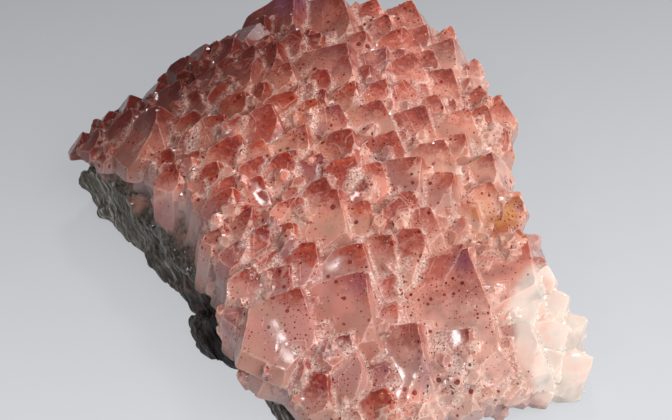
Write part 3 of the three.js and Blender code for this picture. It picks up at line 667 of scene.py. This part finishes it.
def crystal_faces():
    """The faces of one crystal as corner numbers: its foot, then for each third of it a broad end
    face, a small end face and the two sides below them. Corner 0 is the tip."""
    faces = [(21, 20, 19, 18, 17, 16)]
    for j in range(3):
        last, before, here, after = (j - 1) % 3, (2 * j - 1) % 6, 2 * j, 2 * j + 1
        faces.append((0, 1 + last, 5 + 2 * last, 10 + before, 10 + here, 4 + 2 * j, 1 + j))
        faces.append((1 + j, 4 + 2 * j, 5 + 2 * j))
        faces.append((10 + before, 16 + before, 16 + here, 10 + here))
        faces.append((10 + here, 16 + here, 16 + after, 10 + after, 5 + 2 * j, 4 + 2 * j))
    return faces


FACES = crystal_faces()
CORNERS = 22


def quartz(tips, axes, turns, widths, evens, lengths):
    """The 22 corners of each quartz crystal: three broad end faces meet at the tip, three small ones
    cut the ridges between them, and six sides make the prism below, which is 1 mm long at least."""
    half = widths[:, None] / 2
    outer = half / math.cos(math.pi / 6)  # from the axis to the prism's edges
    lengths = np.maximum(lengths, 0.66 * widths + 1)[:, None]
    cut = 0.5 * SLOPE * half * np.clip(1 - evens[:, None], 0.08, 0.97)
    ridge = np.radians([60.0, 180.0, 300.0])
    ring = np.radians([30.0, 90.0, 150.0, 210.0, 270.0, 330.0])
    along = (half / 2 - cut / SLOPE) / math.cos(math.pi / 6)

    def placed(radius, angle, height):
        """Corners at a radius from the axis, an angle round it and a height along it."""
        shape = np.broadcast_shapes(np.shape(radius), np.shape(angle), np.shape(height))
        flat = [np.broadcast_to(v, shape) for v in (radius * np.cos(angle), radius * np.sin(angle), height)]
        return np.stack(flat, axis=2)

    low = placed(half, ridge[None], -SLOPE * half + cut)
    away = np.stack([np.sin(ridge), -np.cos(ridge), 0 * ridge], axis=1)[None] * along[..., None]
    points = np.concatenate(
        [
            np.zeros((len(tips), 1, 3)),
            placed(cut / (0.5 * SLOPE), ridge[None], -cut),
            np.stack([low + away, low - away], axis=2).reshape(len(tips), 6, 3),
            placed(outer, ring[None], -SLOPE * half),
            placed(outer, ring[None], -lengths),
        ],
        axis=1,
    )
    squeeze = rng.uniform(0.88, 1.12, (len(tips), 1))
    spin = turns[:, None]
    wide, deep = points[..., 0] * squeeze, points[..., 1] / squeeze
    east = wide * np.cos(spin) - deep * np.sin(spin)
    north = wide * np.sin(spin) + deep * np.cos(spin)
    up = unit(axes)
    side = unit(np.cross([0.0, 1.0, 0.0], up))
    back = np.cross(up, side)
    return (
        east[..., None] * side[:, None]
        + north[..., None] * back[:, None]
        + points[..., 2, None] * up[:, None]
        + tips[:, None]
    )


def crystal_mesh(crystals):
    """All crystals as corners and triangles: every face is cut as a fan."""
    fans = np.array([(face[0], face[i], face[i + 1]) for face in FACES for i in range(1, len(face) - 1)])
    triangles = np.arange(len(crystals))[:, None, None] * CORNERS + fans[None]
    return crystals.reshape(-1, 3), triangles.reshape(-1, 3)


def crystal_planes(crystals):
    """The outward normal of each face of each crystal, and how far its plane is from the origin."""
    one, two, three = (crystals[:, [face[i] for face in FACES]] for i in range(3))
    normals = unit(np.cross(two - one, three - one))
    return normals, (normals * one).sum(2)


def nearest_crystals(places, crystals, batch=12000):
    """How places lie to the crystals. A place is outside a crystal by its greatest distance over any of
    the crystal's face planes. The crystal with the least of these owns the place, and the next one is
    its rival. Gives the owner, its face and its second face, how far over the face the place is, the
    ridge, which is how close the second face is and 0 on an edge, the rival and its face, and the
    gap, which is how far outside the rival the place is."""
    normals, offsets = crystal_planes(crystals)
    found = []
    for part in np.array_split(places, 1 + len(places) // batch):
        outside = np.full((len(part), len(crystals)), -1e9, np.float32)
        for face in range(len(FACES)):
            np.maximum(outside, part @ normals[:, face].T - offsets[:, face], out=outside)
        row = np.arange(len(part))
        owner = outside.argmin(1)
        over = outside[row, owner]
        outside[row, owner] = 1e9
        rival = outside.argmin(1)
        away = (part[:, None] * normals[owner]).sum(2) - offsets[owner]
        face = away.argmax(1)
        first = away[row, face]
        away[row, face] = -1e9
        second = away.argmax(1)
        beside = ((part[:, None] * normals[rival]).sum(2) - offsets[rival]).argmax(1)
        found.append({
            "owner": owner, "face": face, "over": over, "second": second,
            "ridge": first - away[row, second], "rival": rival, "rival_face": beside,
            "gap": outside[row, rival],
        })
    return {name: np.concatenate([part[name] for part in found]) for name in found[0]}


def snapped(points, crystals):
    """Moves every corner that is close to a crystal's face onto it, and onto the edge or crease that the
    face ends in where that is close too. With two planes of normals n and m, a corner at distances r
    and s over them moves by an + bm, where a + cb = -r, ca + b = -s and c is the product of n and m."""
    normals, _ = crystal_planes(crystals)
    lie = nearest_crystals(points, crystals)
    over, gap = lie["over"], lie["gap"]
    beyond_edge = over - lie["ridge"]
    crease = (np.abs(gap) < np.abs(beyond_edge))[:, None]
    one = normals[lie["owner"], lie["face"]]
    two = np.where(crease, normals[lie["rival"], lie["rival_face"]], normals[lie["owner"], lie["second"]])
    further = np.where(crease[:, 0], gap, beyond_edge)
    turn = (one * two).sum(1)
    flat = np.maximum(1 - turn**2, 0.05)
    move = one * ((turn * further - over) / flat)[:, None] + two * ((turn * over - further) / flat)[:, None]
    short = np.linalg.norm(move, axis=1) < SNAP["face"]
    close = (np.abs(further) < SNAP["edge"]) & short & (turn < 0.95)
    move = np.where(close[:, None], move, -one * over[:, None])
    return points + move * (np.abs(over) < SNAP["face"])[:, None]


def inside_plan(x, y):
    """Which places lie inside the outline: a ray from each to one side crosses it an odd number of times."""
    odd = np.zeros(len(x), bool)
    for (ax, ay), (bx, by) in zip(PLAN, np.roll(PLAN, 1, axis=0)):
        if ay != by:  # no ray crosses a level side
            crosses = (ay > y) != (by > y)
            odd ^= crosses & (x < (bx - ax) * (y - ay) / (by - ay) + ax)
    return odd


def rim_distance(x, y):
    """How far each place is from the outline: the least distance to any of its sides."""
    sides = np.roll(PLAN, -1, axis=0) - PLAN
    here = np.stack([x, y], axis=1)[:, None] - PLAN[None]
    share = np.clip((here * sides).sum(2) / (sides**2).sum(1), 0, 1)
    return np.linalg.norm(here - share[..., None] * sides, axis=2).min(1)


def grown_crystals():
    """The placed crystals of every group, and small ones on a jittered grid of equal triangles wherever
    no placed one is close. Also gives their widths, which shrink towards the rim."""
    rows = np.array([row + (fan,) for group, fan in GROUPS for row in group])
    pitch, jitter = FILL["pitch"], FILL["jitter"]
    line, column = np.mgrid[-18:19, -14:15].reshape(2, -1)
    x = (column + (line % 2) / 2) * pitch + rng.uniform(-jitter, jitter, line.size)
    y = line * pitch * 0.866 + rng.uniform(-jitter, jitter, line.size)
    width = rng.uniform(*FILL["widths"], line.size)
    gap = np.hypot(x[:, None] - rows[:, 0], y[:, None] - rows[:, 1]) - 0.37 * (width[:, None] + rows[:, 2])
    corner_x, corner_y, radius = BARE_CORNER
    keep = inside_plan(x, y) & (gap.min(1) > 0) & (np.hypot(x - corner_x, y - corner_y) > radius)
    number = keep.sum()
    turn = rng.uniform(-150, -90, number)
    rise = -rng.uniform(*FILL["sunk"], number)
    even = rng.uniform(0.1, 0.7, number)
    fill = np.column_stack([x[keep], y[keep], width[keep], turn, rise, even, np.full(number, FILL["fan"])])
    x, y, width, turn, rise, even, fan = np.vstack([rows, fill]).T

    inner = np.clip(rim_distance(x, y) / 9, 0, 1)
    tips = np.stack([x, y, tip_height(x, y) + rise], axis=1)
    out = (tips[:, :2] - PLATE["middle"]) / PLATE["half"]
    front = np.clip((y + 46) / 14, 0.15, 1)
    axes = GROWTH * np.stack([0.6 + 0.4 * inner, front, np.ones(len(x))], axis=1)
    axes[:, :2] += out * fan[:, None] + rng.normal(0, 0.07, (len(x), 2))
    wide = width * (1.1 + 0.28 * inner)
    turns = np.radians(turn - 12 + rng.normal(0, 6, len(x)))
    return quartz(tips, axes, turns, wide, even, tips[:, 2] - bedding(x, y) - 1), wide


def rim_columns():
    """Columns round the rim, apart from the milky corner: at even steps along the outline, a little
    inside it, with tips below the dome, leaning outwards and reaching down to the rock."""
    sides = np.roll(PLAN, -1, axis=0) - PLAN
    length = np.linalg.norm(sides, axis=1)
    total = np.cumsum(length)
    at = (np.arange(COLUMNS) + rng.uniform(0.1, 0.9, COLUMNS)) * total[-1] / COLUMNS
    at = at[(at < total[MILKY_SIDES[0] - 1]) | (at > total[MILKY_SIDES[1]])]
    number = len(at)
    which = np.searchsorted(total, at)
    way = sides[which] / length[which, None]
    outward = np.stack([-way[:, 1], way[:, 0]], axis=1)
    width = rng.uniform(2.6, 6.0, number)
    base = PLAN[which] + way * (at - total[which] + length[which])[:, None]
    base -= outward * (width * rng.uniform(0.12, 0.4, number))[:, None]
    height = tip_height(*base.T) - rng.uniform(1.0, 6.0, number)
    lean = outward * 0.3 + GROWTH[:2] * 0.35 + rng.normal(0, 0.06, (number, 2))
    axes = np.column_stack([lean, np.ones(number)])
    turns = np.radians(rng.uniform(0, 120, number))
    evens = rng.uniform(0.2, 0.8, number)
    tips = np.column_stack([base, height])
    return quartz(tips, axes, turns, width, evens, height - bedding(*base.T) + 0.5), width


def valley_crystals(points, triangles, gap, number, smallest, largest):
    """Small crystals in the valleys: each stands on a corner that is close to two crystals, and points
    halfway between the growth and the surface's normal."""
    normals = point_normals(points, triangles)
    dome = tip_height(points[:, 0], points[:, 1])
    chance = np.exp(-gap / 0.35) * (points[:, 2] > dome - 10) * (normals[:, 2] > -0.1)
    chosen = rng.choice(len(points), number, p=chance / chance.sum())
    axes = GROWTH + 0.7 * normals[chosen] + rng.normal(0, 0.22, (number, 3))
    widths = smallest + (largest - smallest) * rng.random(number) ** 2
    tips = points[chosen] + unit(axes) * (widths * 0.75)[:, None]
    turns = np.radians(rng.normal(-128, 25, number))
    return quartz(tips, axes, turns, widths, rng.uniform(0.1, 0.8, number), widths * 1.5), widths


def grown_together(name, parts, cell):
    """One closed skin, with corners about a cell apart, round everything in a list of solids."""
    numbers = np.cumsum([0] + [len(points) for points, _ in parts])
    points = np.vstack([points for points, _ in parts])
    triangles = np.vstack([triangles + start for (_, triangles), start in zip(parts, numbers)])
    lump = linked(name, mesh_from(name, points, triangles))
    skin = lump.modifiers.new("skin", "REMESH")
    skin.mode, skin.voxel_size, skin.adaptivity = "VOXEL", cell * MM, 0.0
    shape = bpy.data.meshes.new_from_object(lump.evaluated_get(bpy.context.evaluated_depsgraph_get()))
    bpy.data.objects.remove(lump)
    return solid_arrays(shape)


def all_crystals(bed):
    """Every crystal and its width: the grown ones, the columns, and the small ones in the valleys that
    the others leave over a bed. Also gives how many come before those small ones."""
    crystals, widths = (np.concatenate(both) for both in zip(grown_crystals(), rim_columns()))
    points, triangles = grown_together("first_growth", [bed, crystal_mesh(crystals)], FIRST_CELL)
    gap = nearest_crystals(points, crystals)["gap"]
    small, small_widths = valley_crystals(points, triangles, gap, **VALLEY_CRYSTALS)
    return np.concatenate([crystals, small]), np.concatenate([widths, small_widths]), len(crystals)


# ---- Pieces ----
def quartz_crust():
    """The crust: crystals and a bed grown together in one skin, whose corners are moved onto the
    crystals' faces. Where it nears the rock it gets the rock's fibres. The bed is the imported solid
    with its own tips pressed down."""
    piece = merged_copy("quartz_crust", "strawberry_quartz_crust")
    points, triangles = solid_arrays(piece.data)
    proud = points[:, 2] - tip_height(points[:, 0], points[:, 1]) + PRESSED["depth"]
    points[:, 2] -= PRESSED["share"] * np.maximum(proud, 0)
    bed = (points, triangles)
    crystals, widths, large = all_crystals(bed)
    points, triangles = grown_together("growth", [bed, crystal_mesh(crystals)], CELL)
    points = relaxed(snapped(points, crystals), triangles, 1, 0.08)

    # How each corner lies to the crystals: to all of them, to the large ones and to the placed ones.
    ridge = nearest_crystals(points, crystals)["ridge"]
    gap = nearest_crystals(points, crystals[:large])["gap"]
    buried = nearest_crystals(points, crystals[:PLACED])["gap"]

    # Which crystal and face each triangle is on, and how far below the tip its corners are. The tip's
    # colour reaches down to a share of the crystal's width, which is less on broad crystals.
    lie = nearest_crystals(points[triangles].mean(1), crystals)
    owner = lie["owner"]
    normals = crystal_planes(crystals)[0][owner, lie["face"]]
    away = crystals[owner, :1] - points[triangles]
    below = away[..., 2] + 0.35 * np.linalg.norm(away[..., :2], axis=2)
    chance, spots, luck = rng.random((3, len(crystals)))
    share = 0.66 - 0.32 * np.clip((widths - 6) / 8, 0, 1) - 0.06 * np.clip((widths - 16) / 10, 0, 1)
    reach = widths * (share * (0.6 + 0.8 * luck))
    blush = below / reach[owner, None] + np.clip(lie["over"] - 0.4, 0, 2)[:, None]

    # Where the crust turns rocky: 6 mm below the dome at the left, 11 mm elsewhere.
    depth = tip_height(points[:, 0], points[:, 1]) - points[:, 2]
    start = 6 + 5 * np.clip((points[:, 0] + 32) / 20, 0, 1)
    rocky = np.clip((depth - start + 1.2 * ripples(points, 4.0, 12)) / 2.5, 0, 1)
    lump = fibrous(points, 0.16, 0.16)
    points = points + point_normals(points, triangles) * (lump * rocky)[:, None]
    edge = rim_distance(points[:, 0], points[:, 1])
    points = warped(points)
    wave = 0.02 * ripples(points, 3.2, 5)
    points = points + point_normals(points, triangles) * wave[:, None]
    points[:, 2] = np.maximum(points[:, 2], CRUST_REST)

    mesh = mesh_from("strawberry_quartz_crust", points, triangles)
    write(mesh, "inner", "FLOAT_VECTOR", "CORNER", points[triangles] - COLOUR_DEPTH * normals[:, None])
    write(mesh, "blush", "FLOAT", "CORNER", blush)
    for name, values in {"chance": chance, "spots": spots, "size": widths}.items():
        write(mesh, name, "FLOAT", "FACE", values[owner])
    for name, values in {"gap": gap, "ridge": ridge, "rocky": rocky, "buried": buried, "edge": edge}.items():
        write(mesh, name, "FLOAT", "POINT", np.minimum(values, 9))
    mesh.shade_smooth()
    mesh.set_sharp_from_angle(angle=math.radians(SMOOTH_BELOW))
    piece.data = mesh
    piece.data.materials.append(quartz_finish())
    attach(piece, "root")
    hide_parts("quartz_crust")


def host_rock():
    """The rock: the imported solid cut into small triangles, softened, and raised by fibres and lumps that
    fade out over the lowest 1.5 mm."""
    piece = merged_copy("host_rock", "broken_host_rock")
    points, triangles = refined(*solid_arrays(piece.data), ROCK_SIDE, 0.1)
    points = relaxed(points, triangles, 2)
    points[:, 2] = np.maximum(points[:, 2], 0.0)
    lump = fibrous(points, 0.12, 0.17) + 0.35 * ripples(points, 4.0, 10)
    lift = np.clip(points[:, 2] / 1.5, 0, 1)
    points = points + point_normals(points, triangles) * (lump * lift)[:, None]
    points[:, 2] = np.maximum(points[:, 2], 0.0)
    piece.data = mesh_from("broken_host_rock", points, triangles)
    piece.data.materials.append(rock_finish())
    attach(piece, "root")
    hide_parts("host_rock")


# ---- Studio ----
def floor():
    """A plain square just under the object, darker towards the back. Its glow is painted light, and the
    darkening towards the back is a painted falloff of light.
    """
    half, low = FLOOR["half"], -FLOOR["drop"]
    corners = np.array([(-half, -half, low), (half, -half, low), (half, half, low), (-half, half, low)])
    mesh = mesh_from("studio_floor", corners, [(0, 1, 2, 3)])
    material, start = new_material("pale_floor")
    x = start.add("SeparateXYZ", {"Vector": start.add("TexCoord", output="Object")})
    shade = start.mix(FLOOR_DARK, FLOOR_PALE, (x * 0.25 - x.output("Y")).rise(-0.16, 0.13))
    surface = start.add("BsdfPrincipled", {
        "Base Color": linear(FLOOR_BASE), "Roughness": 0.8, "Emission Color": shade, "Emission Strength": 1.0,
    })
    start.add("OutputMaterial", {"Surface": surface})
    mesh.materials.append(material)
    linked("studio_floor", mesh)


def softbox(name, place, aim, size, power, mirrored):
    """An area light at a place, in mm, that looks at another. Glossy faces may mirror it or not."""
    lamp = bpy.data.lights.new(name, "AREA")
    lamp.shape = "RECTANGLE"
    lamp.size, lamp.size_y = size[0] * MM, size[1] * MM
    lamp.energy = power
    light = linked(name, lamp)
    light.visible_glossy = mirrored
    light.location = Vector(place) * MM
    way = Vector(aim) - Vector(place)
    light.rotation_euler = way.to_track_quat("-Z", "Y").to_euler()


def studio():
    """The floor, the area lights and a faint even light from all round."""
    floor()
    for row in LAMPS:
        softbox(*row)
    world = bpy.data.worlds.new("studio")
    world.use_nodes = True
    sky = world.node_tree.nodes["Background"]
    sky.inputs["Color"].default_value = linear(SKY)
    sky.inputs["Strength"].default_value = 0.18
    bpy.context.scene.world = world


def camera():
    """A camera straight in front of its target, at a distance and an elevation."""
    lens = bpy.data.cameras.new("camera")
    lens.lens, lens.sensor_width = VIEW["lens"], VIEW["sensor"]
    lens.clip_start = 0.01
    tilt = math.radians(VIEW["elevation"])
    back = Vector((0.0, -math.cos(tilt), math.sin(tilt))) * VIEW["distance"]
    holder = linked("camera", lens)
    holder.location = (Vector(VIEW["target"]) + back) * MM
    holder.rotation_euler = (-back).to_track_quat("-Z", "Y").to_euler()
    bpy.context.scene.camera = holder
    bpy.context.scene.view_settings.view_transform = "Standard"


camera()
quartz_crust()
host_rock()
studio()
